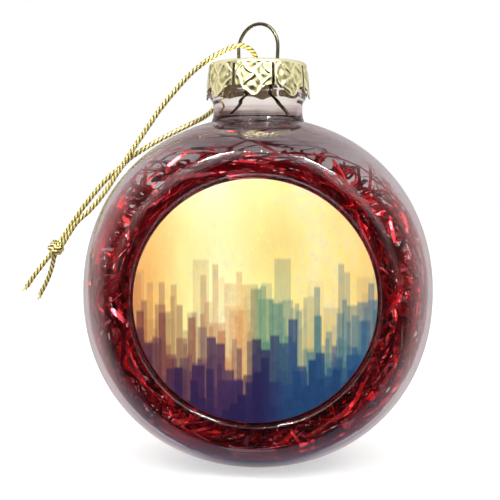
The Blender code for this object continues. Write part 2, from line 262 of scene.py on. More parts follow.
def mesh_from(name, points, faces, smooth_deg=35.0):
    """A smooth-shaded mesh in metres from points in millimetres."""
    mesh = bpy.data.meshes.new(name)
    mesh.from_pydata((np.asarray(points, float) * MM).tolist(), [], faces)
    mesh.validate()
    bm = bmesh.new()
    bm.from_mesh(mesh)
    bmesh.ops.recalc_face_normals(bm, faces=bm.faces)
    bm.to_mesh(mesh)
    bm.free()
    mesh.shade_smooth()
    mesh.set_sharp_from_angle(angle=radians(smooth_deg))
    return mesh


def ring_faces(rings, columns, first_pole=None, last_pole=None):
    """Quads between consecutive closed rings of vertex numbers, with fans to optional end points."""
    faces = []
    for low, high in zip(rings, rings[1:]):
        for k in range(columns):
            nxt = (k + 1) % columns
            faces.append((low[k], low[nxt], high[nxt], high[k]))
    for pole, ring in ((first_pole, rings[0]), (last_pole, rings[-1])):
        if pole is not None:
            faces += [(pole, ring[k], ring[(k + 1) % columns]) for k in range(columns)]
    return faces


def turned_mesh(name, profile, columns, facing_front=False):
    """Revolves (radius, height) points about Z, or about the picture's axis with height towards -Y."""
    points, rings, poles = [], [], []
    for radius, height in profile:
        if radius == 0.0:
            poles.append(len(points))
            points.append((0.0, 0.0, height))
            continue
        rings.append(next_ring(points, columns))
        for k in range(columns):
            angle = tau * k / columns
            points.append((radius * cos(angle), radius * sin(angle), height))
    if facing_front:
        points = [(x, -height, BALL_CENTRE.z + y) for x, y, height in points]
    return mesh_from(name, points, ring_faces(rings, columns, *poles))


def apply_modifiers(made):
    """Replaces an object's mesh with its evaluated one."""
    bpy.context.view_layer.update()
    graph = bpy.context.evaluated_depsgraph_get()
    mesh = bpy.data.meshes.new_from_object(made.evaluated_get(graph))
    made.modifiers.clear()
    made.data = mesh


def boolean(target, other, operation):
    """Cuts or joins target with other and removes other."""
    step = target.modifiers.new("cut", "BOOLEAN")
    step.operation = operation
    step.solver = "EXACT"
    step.object = other
    apply_modifiers(target)
    bpy.data.objects.remove(other)


def quarter_turn(steps):
    """Cosine and sine at equal steps from 0 to 90 degrees."""
    angles = [radians(90.0 * k / steps) for k in range(steps + 1)]
    return [(cos(angle), sin(angle)) for angle in angles]


def catmull_rom(points, steps):
    """A smooth curve through every point, with this many samples in each stretch."""
    padded = [2 * points[0] - points[1]] + points + [2 * points[-1] - points[-2]]
    samples = []
    for k in range(len(points) - 1):
        a, b, c, d = padded[k : k + 4]
        for s in range(steps):
            t = s / steps
            cubic = (3 * b - a - 3 * c + d) * t * t * t
            samples.append(0.5 * (2 * b + (c - a) * t + (2 * a - 5 * b + 4 * c - d) * t * t + cubic))
    samples.append(points[-1].copy())
    return samples


def evenly_spaced(samples, step):
    """Reads points from a sampled curve at equal distances close to step."""
    lengths = [(b - a).length for a, b in zip(samples, samples[1:])]
    total = sum(lengths)
    count = max(2, round(total / step))
    wanted = [total * k / count for k in range(1, count)]
    points = [samples[0]]
    walked = 0.0
    for a, b, length in zip(samples, samples[1:], lengths):
        while wanted and walked + length >= wanted[0]:
            points.append(a.lerp(b, (wanted.pop(0) - walked) / length))
        walked += length
    points.append(samples[-1])
    return points


def frames_along(points):
    """Two steady side vectors at each point of a route."""
    tangents = []
    for k in range(len(points)):
        ahead = points[min(k + 1, len(points) - 1)] - points[max(k - 1, 0)]
        tangents.append(ahead.normalized())
    side = tangents[0].cross(Vector((0.0, 1.0, 0.3))).normalized()
    frames = []
    for tangent in tangents:
        side = (side - tangent * side.dot(tangent)).normalized()
        frames.append((side, tangent.cross(side)))
    return frames


# ---- material helpers


def new_material(name):
    made = bpy.data.materials.new(name)
    made.use_nodes = True
    return made, made.node_tree, made.node_tree.nodes["Principled BSDF"]


def node(tree, kind, **settings):
    made = tree.nodes.new(kind)
    for name, value in settings.items():
        setattr(made, name, value)
    return made


def link(source, target):
    target.id_data.links.new(source, target)


def set_inputs(made, **values):
    """Sets a node's inputs by name, with _ for a space."""
    for name, value in values.items():
        made.inputs[name.replace("_", " ")].default_value = value


def math_node(operation, first, second=None, third=None, clamp=False):
    made = node(first.id_data, "ShaderNodeMath", operation=operation, use_clamp=clamp)
    for place, value in enumerate((first, second, third)):
        if value is None:
            continue
        if isinstance(value, (int, float)):
            made.inputs[place].default_value = value
        else:
            link(value, made.inputs[place])
    return made.outputs[0]


def scaled(value, factor, added, clamp=False):
    return math_node("MULTIPLY_ADD", value, factor, added, clamp)


def mix_colour(tree, factor, first, second, blend="MIX"):
    made = node(tree, "ShaderNodeMix", data_type="RGBA", blend_type=blend)
    for socket, value in ((made.inputs[0], factor), (made.inputs[6], first), (made.inputs[7], second)):
        if isinstance(value, (int, float)):
            socket.default_value = value
        elif isinstance(value, tuple):
            socket.default_value = (*value, 1.0)
        else:
            link(value, socket)
    return made.outputs[2]


def noise(tree, scale, detail, stretch=(1.0, 1.0, 1.0), roughness=0.55):
    """Noise over the object's own coordinates, each multiplied by its part of stretch."""
    place = node(tree, "ShaderNodeTexCoord")
    mapping = node(tree, "ShaderNodeMapping")
    made = node(tree, "ShaderNodeTexNoise")
    set_inputs(mapping, Scale=stretch)
    set_inputs(made, Scale=scale, Detail=detail, Roughness=roughness)
    link(place.outputs["Object"], mapping.inputs["Vector"])
    link(mapping.outputs["Vector"], made.inputs["Vector"])
    return made.outputs["Fac"]


def mesh_value(tree, name):
    """A value that the mesh carries at each point."""
    return node(tree, "ShaderNodeAttribute", attribute_name=name).outputs["Fac"]


def position_parts(tree, output="Object"):
    """X, Y and Z sockets of a coordinate."""
    place = node(tree, "ShaderNodeTexCoord")
    parts = node(tree, "ShaderNodeSeparateXYZ")
    link(place.outputs[output], parts.inputs[0])
    return parts.outputs


def ramp(factor, stops):
    made = node(factor.id_data, "ShaderNodeValToRGB")
    elements = made.color_ramp.elements
    while len(elements) < len(stops):
        elements.new(0.5)
    for element, (place, colour) in zip(elements, stops):
        element.position = place
        element.color = (*colour, 1.0)
    link(factor, made.inputs["Fac"])
    return made.outputs["Color"]


def bump(height, strength, distance, shader):
    """Small relief; distance is in metres."""
    made = node(shader.id_data, "ShaderNodeBump")
    set_inputs(made, Strength=strength, Distance=distance)
    link(height, made.inputs["Height"])
    link(made.outputs["Normal"], shader.inputs["Normal"])


# ---- materials


def clear_plastic():
    """Clear moulded plastic: painted shade on the shoulder and base, painted dark streaks at the root of the
    neck, and soft mould rings.

    Lamps shine straight through it, so that the filling is lit.
    """
    look, tree, shader = new_material("clear_plastic")
    height = math_node("DIVIDE", position_parts(tree)["Z"], NECK_TOP_Z * MM)
    # Painted shade: darker towards the base and over the shoulder, darker and reddish at the root of the
    # neck; the neck itself stays clear.
    painted_shade_tints = [
        (0.0, (0.26, 0.26, 0.33)),
        (0.036, (0.36, 0.36, 0.44)),
        (0.05, (0.88, 0.87, 0.90)),
        (0.70, (0.81, 0.80, 0.82)),
        (0.82, (0.57, 0.56, 0.59)),
        (0.875, (0.60, 0.55, 0.55)),
        (0.90, (1.0, 0.98, 0.98)),
        (1.0, (1.0, 0.99, 0.99)),
    ]
    painted_shade_tint = ramp(height, painted_shade_tints)
    # Painted shade: dark reddish streaks across the root of the neck.
    painted_streaks = noise(tree, 330.0, 2.0, (0.10, 0.10, 3.0))
    painted_streaks = ramp(painted_streaks, [(0.42, WHITE), (0.60, (0.62, 0.50, 0.50))])
    root = ramp(height, [(0.78, BLACK), (0.83, WHITE), (0.885, WHITE), (0.90, BLACK)])
    painted_shade_tint = mix_colour(tree, root, painted_shade_tint, mix_colour(tree, 1.0, painted_shade_tint, painted_streaks, "MULTIPLY"))
    rim = node(tree, "ShaderNodeLayerWeight")
    set_inputs(rim, Blend=0.35)
    edge_tone = ramp(height, [(0.88, (0.88, 0.80, 0.82)), (0.91, WHITE)])
    edge = mix_colour(tree, 1.0, painted_shade_tint, edge_tone, "MULTIPLY")
    link(mix_colour(tree, rim.outputs["Facing"], painted_shade_tint, edge), shader.inputs["Base Color"])
    set_inputs(shader, Roughness=0.0, IOR=1.49, Transmission_Weight=1.0)
    set_inputs(shader, Specular_Tint=(0.55, 0.55, 0.55, 1.0))
    rings = noise(tree, 110.0, 2.0, (0.25, 0.25, 3.2))
    shoulder = ramp(height, [(0.0, BLACK), (0.70, BLACK), (0.83, WHITE)])
    waves = math_node("MULTIPLY", rings, shoulder)
    bump(waves, 0.12, 0.0005, shader)
    for_lamps = node(tree, "ShaderNodeBsdfTransparent")
    set_inputs(for_lamps, Color=(0.93, 0.92, 0.93, 1.0))
    path = node(tree, "ShaderNodeLightPath")
    mix = node(tree, "ShaderNodeMixShader")
    link(path.outputs["Is Shadow Ray"], mix.inputs["Fac"])
    link(shader.outputs["BSDF"], mix.inputs[1])
    link(for_lamps.outputs["BSDF"], mix.inputs[2])
    link(mix.outputs["Shader"], tree.nodes["Material Output"].inputs["Surface"])
    return look


def red_film():
    """Metallised red film: bright and finely crinkled, each ribbon a little different; the palest crinkles
    are painted glints.
    """
    look, tree, shader = new_material("red_film")
    crinkle = noise(tree, 900.0, 3.0)
    tone = scaled(crinkle, 0.4, mesh_value(tree, "ribbon_shade"))
    # The palest stop is a painted glint: near-white flecks where the crinkles peak on the brightest ribbons.
    reds_and_painted_glints = [
        (0.0, (0.05, 0.001, 0.004)),
        (0.4, (0.30, 0.003, 0.010)),
        (0.75, (0.80, 0.008, 0.016)),
        (0.93, (1.0, 0.05, 0.05)),
        (1.0, (1.0, 0.72, 0.68)),
    ]
    link(ramp(tone, reds_and_painted_glints), shader.inputs["Base Color"])
    set_inputs(shader, Metallic=0.85, Coat_Weight=1.0, Coat_Roughness=0.06)
    link(scaled(crinkle, 0.14, 0.06), shader.inputs["Roughness"])
    bump(noise(tree, 500.0, 2.0), 0.2, 0.0002, shader)
    return look


def cap_gold():
    """Bright stamped gold with painted shade in the hollows; the inside of the sheet is a duller lacquer."""
    look, tree, shader = new_material("cap_gold")
    stain = noise(tree, 260.0, 4.0)
    # Painted shade: the gold darkens from the stamped ridges down into the hollows; the stain noise adds
    # random tone.
    depth = scaled(stain, 0.4, mesh_value(tree, "relief"))
    painted_shade_golds = [(0.0, (0.42, 0.36, 0.17)), (0.35, (0.71, 0.63, 0.31)), (1.0, (0.92, 0.87, 0.53))]
    place = node(tree, "ShaderNodeTexCoord")
    level = node(tree, "ShaderNodeVectorMath", operation="MULTIPLY")
    level.inputs[1].default_value = (1.0, 1.0, 0.0)
    link(place.outputs["Object"], level.inputs[0])
    facing = node(tree, "ShaderNodeVectorMath", operation="DOT_PRODUCT")
    link(level.outputs[0], facing.inputs[0])
    link(place.outputs["Normal"], facing.inputs[1])
    inside = math_node("LESS_THAN", facing.outputs["Value"], -0.004)
    colour = mix_colour(tree, inside, ramp(depth, painted_shade_golds), (0.86, 0.78, 0.50))
    link(colour, shader.inputs["Base Color"])
    link(scaled(inside, -0.6, 1.0), shader.inputs["Metallic"])
    outside_skin = scaled(stain, 0.18, 0.14)
    link(scaled(inside, 0.35, outside_skin), shader.inputs["Roughness"])
    bump(noise(tree, 1400.0, 3.0), 0.25, 0.0001, shader)
    return look


def bronze_wire():
    look, tree, shader = new_material("wire_bronze")
    worn = noise(tree, 900.0, 3.0, (1.0, 1.0, 0.15))
    tones = [(0.3, (0.055, 0.045, 0.026)), (0.62, (0.16, 0.135, 0.085)), (0.8, (0.33, 0.28, 0.18))]
    link(ramp(worn, tones), shader.inputs["Base Color"])
    set_inputs(shader, Metallic=1.0)
    link(scaled(worn, 0.3, 0.2), shader.inputs["Roughness"])
    bump(worn, 0.3, 0.0001, shader)
    return look


def cord_gold():
    """Twisted metallic thread: painted highlights on each ply's crown and painted shade in the grooves
    between them.
    """
    look, tree, shader = new_material("cord_gold")
    fibre = noise(tree, 2600.0, 3.0)
    # Painted highlight on each ply's crown and painted shade, near black, in the grooves between plies.
    level = scaled(fibre, 0.5, mesh_value(tree, "ply_crown"))
    level = math_node("SUBTRACT", level, 0.25)
    painted_shade_golds = [
        (0.12, (0.030, 0.020, 0.004)),
        (0.42, (0.30, 0.23, 0.05)),
        (0.72, (0.80, 0.70, 0.25)),
        (1.0, (0.94, 0.87, 0.45)),
    ]
    link(ramp(level, painted_shade_golds), shader.inputs["Base Color"])
    set_inputs(shader, Metallic=0.4, Roughness=0.34)
    bump(fibre, 0.6, 0.0002, shader)
    return look


def bare_aluminium():
    look, tree, shader = new_material("disc_edge")
    grain = noise(tree, 500.0, 3.0, (1.0, 1.0, 12.0))
    colour = ramp(grain, [(0.3, (0.62, 0.63, 0.65)), (0.7, (0.8, 0.81, 0.82))])
    link(colour, shader.inputs["Base Color"])
    set_inputs(shader, Metallic=1.0)
    link(scaled(grain, 0.2, 0.22), shader.inputs["Roughness"])
    return look


def foam_tape():
    look, tree, shader = new_material("foam_tape")
    cells = noise(tree, 1500.0, 2.0)
    colour = ramp(cells, [(0.3, (0.72, 0.72, 0.70)), (0.7, (0.88, 0.88, 0.86))])
    link(colour, shader.inputs["Base Color"])
    set_inputs(shader, Roughness=0.8)
    bump(cells, 0.4, 0.0002, shader)
    return look


def bar_layer(tree, under, across, up, bars, seed, base, spread, colour, opacity):
    """Lays one row of upright translucent bars with uneven tops over a colour."""
    column = math_node("FLOOR", scaled(across, bars, seed * 7.3))
    chance = node(tree, "ShaderNodeTexWhiteNoise", noise_dimensions="2D")
    pair = node(tree, "ShaderNodeCombineXYZ")
    set_inputs(pair, Y=seed * 3.1)
    link(column, pair.inputs["X"])
    link(pair.outputs[0], chance.inputs["Vector"])
    top = scaled(chance.outputs["Value"], spread, base)
    inside = scaled(math_node("SUBTRACT", top, up), 90.0, 0.5, clamp=True)
    split = node(tree, "ShaderNodeSeparateColor")
    link(chance.outputs["Color"], split.inputs[0])
    weight = scaled(split.outputs["Green"], 0.45, opacity - 0.2)
    return mix_colour(tree, math_node("MULTIPLY", inside, weight, clamp=True), under, colour)


def print_ramp(factor, tones):
    """A ramp from stops of place, red, green and blue, whose colours are given as they are seen, 0 to 255."""
    stops = []
    for place, *tone in tones:
        stops.append((place, tuple(((value / 255.0 + 0.055) / 1.055) ** 2.4 for value in tone)))
    return ramp(factor, stops)


def printed_face():
    """An abstract print: mottled lemon sky over rows of translucent bars from plum to deep blue."""
    look, tree, shader = new_material("disc_print")
    place = position_parts(tree)
    across = scaled(place["X"], 0.5 / (DISC_RADIUS * MM), 0.5)
    lifted = math_node("SUBTRACT", place["Z"], BALL_CENTRE.z * MM)
    up = scaled(lifted, 0.5 / (DISC_RADIUS * MM), 0.5)
    mottle = noise(tree, 760.0, 6.0, (1.0, 1.0, 0.6), 0.75)
    cloud = noise(tree, 70.0, 4.0, (1.0, 1.0, 0.45))
    haze = scaled(mottle, 0.55, math_node("MULTIPLY", cloud, 0.55))
    sky = print_ramp(haze, SKY_TONES)
    colour = mix_colour(tree, 0.5, sky, print_ramp(across, GLOW_TONES))
    warm = print_ramp(across, WARM_TONES)
    deep = print_ramp(across, DEEP_TONES)
    lowest = print_ramp(across, LOWEST_TONES)
    # Each row: bars across the disc, lowest top, spread of tops, colours and opacity.
    rows = [
        (15.0, 0.34, 0.34, warm, 0.28),
        (41.0, 0.28, 0.38, warm, 0.36),
        (23.0, 0.20, 0.38, warm, 0.52),
        (57.0, 0.18, 0.34, warm, 0.40),
        (33.0, 0.14, 0.34, warm, 0.66),
        (27.0, 0.10, 0.34, deep, 0.66),
        (49.0, 0.10, 0.26, deep, 0.50),
        (19.0, 0.05, 0.26, deep, 0.84),
        (31.0, 0.03, 0.24, lowest, 0.92),
    ]
    for number, (bars, base, spread, palette, opacity) in enumerate(rows):
        colour = bar_layer(tree, colour, across, up, bars, number + 1.0, base, spread, palette, opacity)
    grit = scaled(mottle, 0.9, 0.45)
    shade = node(tree, "ShaderNodeVectorMath", operation="SCALE")
    link(colour, shade.inputs[0])
    link(grit, shade.inputs["Scale"])
    link(shade.outputs[0], shader.inputs["Base Color"])
    set_inputs(shader, Roughness=0.42, Specular_IOR_Level=0.3)
    return look


# ---- the ball


def ball_points(theta, phi, radius, front_depth, base_depth):
    """Points of the rounded ball at angles theta from the picture's axis and phi round it."""
    toward = -np.cos(theta) * np.ones_like(phi)
    out = np.stack([np.sin(theta) * np.cos(phi), toward, np.sin(theta) * np.sin(phi)], axis=-1)
    up = np.abs(out[..., 2])
    level = np.sqrt(np.clip(1.0 - up * up, 0.0, 1.0))
    reach = radius / (level**BALL_SQUARENESS + up**BALL_SQUARENESS) ** (1.0 / BALL_SQUARENESS)
    front = front_depth / np.maximum(-out[..., 1], 1e-6)
    reach = reach * (1.0 + (reach / front) ** FRONT_ROUNDING) ** (-1.0 / FRONT_ROUNDING)
    base = base_depth / np.maximum(-out[..., 2], 1e-6)
    reach = reach * (1.0 + (reach / base) ** BASE_ROUNDING) ** (-1.0 / BASE_ROUNDING)
    return out * reach[..., None] + np.array(BALL_CENTRE)


def recess_profile(front_depth, inset):
    """(radius, depth in front of the centre) from the recess's middle out to the flat ring."""
    floor = front_depth - RECESS_DEPTH
    wall = min(inset, RECESS_WALL)
    radius = RECESS_RADIUS + wall
    hollow = RECESS_FILLET + wall
    edge = RECESS_EDGE - wall
    profile = [(distance, floor) for distance in np.linspace(3.0, radius - hollow, 8)]
    for c, s in quarter_turn(4)[1:]:
        profile.append((radius - hollow * (1.0 - s), floor + hollow * (1.0 - c)))
    for c, s in quarter_turn(6):
        profile.append((radius + edge * (1.0 - c), front_depth - edge * (1.0 - s)))
    return profile + [(FLAT_RADIUS, front_depth)]


def ball_surface(name, inset, base_wall):
    """One closed skin of the ball, moved in from the outside by inset."""
    front_depth = -FRONT_Y - inset
    columns = BALL_COLUMNS
    phi = np.arange(columns) * tau / columns
    points = [(0.0, -(front_depth - RECESS_DEPTH), BALL_CENTRE.z)]
    rings = []
    for radius, depth in recess_profile(front_depth, inset):
        rings.append(next_ring(points, columns))
        points += [(radius * cos(a), -depth, BALL_CENTRE.z + radius * sin(a)) for a in phi]
    start = atan2(FLAT_RADIUS, front_depth)
    fine = np.arange(start + 0.012, start + 0.24, 0.0075)
    coarse = np.linspace(fine[-1] + 0.02, pi - 0.03, 110)
    for theta in np.concatenate([fine, coarse]):
        ring = ball_points(theta, phi, BALL_RADIUS - inset, front_depth, BALL_CENTRE.z - base_wall)
        rings.append(next_ring(points, columns))
        points += [tuple(point) for point in ring]
    back = ball_points(np.array(pi), np.array(0.0), BALL_RADIUS - inset, front_depth, BALL_CENTRE.z)
    points.append(tuple(back))
    return add_object(mesh_from(name, points, ring_faces(rings, columns, 0, len(points) - 1)))


def collar_bulge(radius):
    """The neck's collar as a soft swelling of a wall of this radius."""
    bulge = []
    for z in np.linspace(COLLAR_LOW_Z, COLLAR_HIGH_Z, 21):
        share = (z - COLLAR_LOW_Z) / (COLLAR_HIGH_Z - COLLAR_LOW_Z)
        bulge.append((radius + COLLAR_SWELL * sin(pi * share**1.25) ** 2, z))
    return bulge


def neck_and_bore():
    """Solids of the neck and of its bore, both rooted inside the ball."""
    root = BALL_CENTRE.z + BALL_RADIUS - NECK_ROOT_DEPTH
    stem = NECK_RADIUS - 1.0
    neck = [(0.0, root), (stem, root), (stem, root + 10.0)]
    neck += [(NECK_RADIUS + flare, z) for flare, z in NECK_FLARE]
    neck += collar_bulge(NECK_RADIUS)
    for c, s in quarter_turn(3):
        neck.append((NECK_RADIUS - NECK_LIP * (1.0 - c), NECK_TOP_Z - NECK_LIP * (1.0 - s)))
    neck.append((0.0, NECK_TOP_Z))
    bore = [(0.0, root), (BORE_RADIUS, root)] + collar_bulge(BORE_RADIUS)
    bore += [(BORE_RADIUS + flare, NECK_TOP_Z + rise) for flare, rise in BORE_LIP]
    bore += [(0.0, bore[-1][1])]
    return (
        add_object(turned_mesh("neck_form", neck, NECK_COLUMNS)),
        add_object(turned_mesh("bore_form", bore, NECK_COLUMNS)),
    )


def make_shell(look):
    shell = ball_surface("ball_shell_clear", 0.0, 0.0)
    neck_form, bore_form = neck_and_bore()
    hollow = ball_surface("hollow_form", SHELL_WALL, BASE_WALL)
    boolean(shell, neck_form, "UNION")
    boolean(hollow, bore_form, "UNION")
    boolean(shell, hollow, "DIFFERENCE")
    finish_cut(shell, look, 35.0)
    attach(shell, "ball")
    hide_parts("ball_shell")


# ---- the picture


def plate_profile(radius, back, front, edge):
    """A round plate's section with small rounded edges, from its back's middle to its front's."""
    profile = [(0.0, back), (radius * 0.5, back), (radius - edge, back), (radius, back + edge)]
    profile += [(radius, front - edge), (radius - edge * 0.3, front - edge * 0.3), (radius - edge, front)]
    return profile + [(radius * 0.5, front), (0.0, front)]


def make_picture(edge_look, print_look, foam_look):
    back, front = -DISC_HIGH.y, -DISC_LOW.y
    profile = plate_profile(DISC_RADIUS, back, front, DISC_EDGE)
    mesh = turned_mesh("picture_disc_printed", profile, DISC_COLUMNS, facing_front=True)
    disc = add_object(mesh, edge_look)
    mesh.materials.append(print_look)
    for face in mesh.polygons:
        if face.normal.y < -0.9:
            face.material_index = 1
    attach(disc, "ball")
    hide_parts("picture_disc")
    profile = plate_profile((PAD_HIGH.x - PAD_LOW.x) / 2.0, -PAD_HIGH.y, -PAD_LOW.y, PAD_EDGE)
    pad = add_object(turned_mesh("adhesive_pad_foam", profile, PAD_COLUMNS, facing_front=True), foam_look)
    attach(pad, "ball")
    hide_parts("adhesive_pad")


# ---- the crown cap


def petal_relief(across, down, turn):
    """Stamped relief on a petal, 0 in the hollows to 1 on the ridges; across and down run 0 to 1."""
    wobble = 0.035 * sin(9.0 * down + 5.0 * turn) + 0.03 * sin(11.0 * across + 3.0 * turn)
    first = ((across + down * 0.5 + wobble) * 2.0) % 1.0
    second = ((across - down * 0.5 + wobble) * 2.0) % 1.0
    ridge = max(exp(-(((first - 0.5) / 0.10) ** 2)), exp(-(((second - 0.5) / 0.10) ** 2)))
    dot_distance = hypot(min(first, 1.0 - first), min(second, 1.0 - second))
    dot = exp(-((dot_distance / 0.17) ** 2))
    dent = 0.22 * sin(17.0 * across + 7.0 * turn) * sin(13.0 * down + 4.0 * turn)
    fade = min(1.0, across / 0.07, (1.0 - across) / 0.07)
    return 0.5 + (max(ridge, dot * 0.9) + dent - 0.5) * fade


def petal_edge_z(side):
    """Height of a petal's lower edge: square shoulders by the slits and a rounded point between."""
    point = exp(-((abs(side) / 0.5) ** 2.4))
    return CAP_VALLEY_Z + (CAP_TIP_Z - CAP_VALLEY_Z) * point


def cap_wall_radius(z):
    share = (CAP_TOP_Z - z) / (CAP_TOP_Z - CAP_TIP_Z)
    return CAP_TOP_RADIUS + (CAP_TIP_RADIUS - CAP_TOP_RADIUS) * share


def cap_columns():
    """Angle, place across its petal and outward lean for each column of the sheet."""
    step = 360.0 / PETALS
    source = random.Random(CAP_SEED)
    columns = []
    for petal in range(PETALS):
        lean = source.uniform(-0.12, 0.10)
        for k in range(PETAL_COLUMNS + 1):
            share = k / PETAL_COLUMNS
            angle = FIRST_SLIT_DEG + petal * step + CAP_SLIT_DEG / 2.0 + share * (step - CAP_SLIT_DEG)
            columns.append((radians(angle), share, lean))
    return columns


def cap_top_profile():
    """(radius, z) from near the middle of the flat top, over a faint groove, to below the rounded corner."""
    profile = [(radius, CAP_TOP_Z) for radius in (1.5, 3.0, 4.6, 6.6, 8.4)]
    profile += [(radius, CAP_TOP_Z - 0.12) for radius in (9.4, 9.9)]
    for c, s in quarter_turn(4):
        profile.append((CAP_TOP_RADIUS - CAP_CORNER * (1.0 - s), CAP_TOP_Z - CAP_CORNER * (1.0 - c)))
    return profile


def petal_point(share, lean, down):
    """Radius, height and relief on a petal; down runs from 0 at the slit's top to 1 at the lower edge."""
    side = share * 2.0 - 1.0
    z = CAP_SLIT_TOP_Z + (petal_edge_z(side) - CAP_SLIT_TOP_Z) * down
    raised = petal_relief(share, (CAP_SLIT_TOP_Z - z) / (CAP_SLIT_TOP_Z - CAP_TIP_Z) * 1.4, lean * 40.0)
    curl = 0.10 * sin(down * pi) - 0.16 * down * down * abs(side) ** 3
    radius = cap_wall_radius(z) - CAP_WALL * 0.4 + CAP_STAMP * (raised - 0.5) + curl + lean * down * down
    return radius, z, raised


def cap_sheet():
    """The cap's outer skin as points, relief values and faces, open at the slits."""
    columns = cap_columns()
    count = len(columns)
    rows = [[(radius, z, PLAIN_RELIEF)] * count for radius, z in cap_top_profile()]
    whole_rows = len(rows)
    for row in range(1, PETAL_ROWS + 1):
        rows.append([petal_point(share, lean, row / PETAL_ROWS) for _, share, lean in columns])
    points, relief, rings, faces = [], [], [], []
    for row in rows:
        rings.append(next_ring(points, count))
        for (angle, _, _), (radius, z, raised) in zip(columns, row):
            points.append((radius * sin(angle), -radius * cos(angle), z))
            relief.append(raised)
    for index, (low, high) in enumerate(zip(rings, rings[1:])):
        for k in range(count):
            nxt = (k + 1) % count
            at_slit = nxt % (PETAL_COLUMNS + 1) == 0
            if index < whole_rows or not at_slit:
                faces.append((low[k], low[nxt], high[nxt], high[k]))
    centre = len(points)
    points.append((0.0, 0.0, CAP_TOP_Z))
    relief.append(PLAIN_RELIEF)
    faces += [(centre, rings[0][k], rings[0][(k + 1) % count]) for k in range(count)]
    return points, relief, faces


def cut_wire_holes(cap):
    for side in (-1.0, 1.0):
        bm = bmesh.new()
        bmesh.ops.create_cone(
            bm,
            cap_ends=True,
            segments=32,
            radius1=WIRE_HOLE_RADIUS * MM,
            radius2=WIRE_HOLE_RADIUS * MM,
            depth=4.0 * CAP_WALL * MM,
            matrix=Matrix.Translation(wire_point(side * WIRE_HALF_GAP, CAP_TOP_Z) * MM),
        )
        boolean(cap, add_object(mesh_of("hole_form", bm)), "DIFFERENCE")


def make_cap(look):
    """A thin sheet drawn over the neck: flat top, rounded corner and eight stamped petals."""
    points, relief, faces = cap_sheet()
    mesh = mesh_from("crown_cap_stamped", points, faces)
    mesh.attributes.new("relief", "FLOAT", "POINT").data.foreach_set("value", relief)
    if max(mesh.polygons, key=lambda face: face.center.z).normal.z < 0.0:
        mesh.flip_normals()
    cap = add_object(mesh, look)
    skin = cap.modifiers.new("thickness", "SOLIDIFY")
    skin.thickness = CAP_WALL * 0.7 * MM
    skin.offset = -1.0
    apply_modifiers(cap)
    cut_wire_holes(cap)
    finish_cut(cap, look, 50.0)
    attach(cap, "cap")
    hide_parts("crown_cap")


# ---- hanger and cord


def wire_point(across, z):
    turn = radians(WIRE_TURN_DEG)
    return Vector((across * cos(turn), across * sin(turn), z))


def tube_mesh(name, points, radius_at, sides, attribute=None):
    """A closed tube along points. radius_at(distance, angle) gives its radius and an attribute value."""
    verts, values, rings = [], [], []
    walked = 0.0
    for k, (point, (side, other)) in enumerate(zip(points, frames_along(points))):
        walked += (point - points[k - 1]).length if k else 0.0
        rings.append(next_ring(verts, sides))
        for s in range(sides):
            angle = tau * s / sides
            radius, value = radius_at(walked, angle)
            verts.append(point + (side * cos(angle) + other * sin(angle)) * radius)
            values.append(value)
    ends = [len(verts), len(verts) + 1]
    verts += [points[0], points[-1]]
    values += [0.5, 0.5]
    mesh = mesh_from(name, [tuple(v) for v in verts], ring_faces(rings, sides, *ends), 60.0)
    if attribute:
        mesh.attributes.new(attribute, "FLOAT", "POINT").data.foreach_set("value", values)
    return mesh


def make_hanger(look):
    arch = []
    for degrees in range(15, 180, 15):
        angle = radians(degrees)
        rise = (WIRE_TOP_Z - WIRE_ARCH_Z) * sin(angle)
        arch.append((WIRE_HALF_GAP * cos(angle), WIRE_ARCH_Z + rise))
    route = WIRE_LEG + arch + [(-across, z) for across, z in reversed(WIRE_LEG)]
    points = evenly_spaced(catmull_rom([wire_point(across, z) for across, z in route], 12), 0.35)
    radius = WIRE_DIAMETER / 2.0
    wire = add_object(tube_mesh("wire_hanger_bent", points, lambda walked, angle: (radius, 0.0), 16), look)
    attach(wire, "hanger")
    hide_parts("wire_hanger")


def ply_radius(walked, angle):
    """Radius and crown value of a twisted cord: round plies that wind along it."""
    phase = (angle * CORD_PLIES + tau * walked / CORD_PITCH * CORD_PLIES) / 2.0
    crown = abs(cos(phase))
    return CORD_DIAMETER / 2.0 * (0.78 + 0.27 * crown**0.8), crown**1.4


def knot_wrap_points():
    """Two and a bit turns of cord wound round both strands."""
    axis = KNOT_AXIS.normalized()
    side = Vector((0.0, 1.0, 0.0))
    other = axis.cross(side)
    points = []
    steps = KNOT_TURNS * 28
    for k in range(int(steps) + 1):
        share = k / steps
        angle = share * KNOT_TURNS * tau
        around = side * cos(angle) + other * sin(angle)
        points.append(KNOT_CENTRE + axis * (share - 0.5) * KNOT_LENGTH + around * KNOT_RADIUS)
    return points


def make_fray(end, direction, seed, look):
    """Loose filaments where the cord was cut, as one piece of joined hair-thin tubes."""
    source = random.Random(seed)
    bm = bmesh.new()
    for _ in range(FRAY_HAIRS):
        points = [end - direction * 0.5]
        aim = direction.copy()
        for _ in range(6):
            aim = (aim + Vector([source.uniform(-0.16, 0.16) for _ in range(3)])).normalized()
            points.append(points[-1] + aim * source.uniform(0.18, 0.42))
        hair = source.uniform(0.09, 0.17)
        offset = Vector([source.uniform(-0.22, 0.22) for _ in range(3)])
        points = [point + offset for point in points]
        mesh = tube_mesh("hair", points, lambda walked, angle: (hair, 0.8), 5, "ply_crown")
        bm.from_mesh(mesh)
        bpy.data.meshes.remove(mesh)
    mesh = mesh_of(f"cord_fray_{seed}", bm)
    mesh.shade_smooth()
    return add_object(mesh, look)


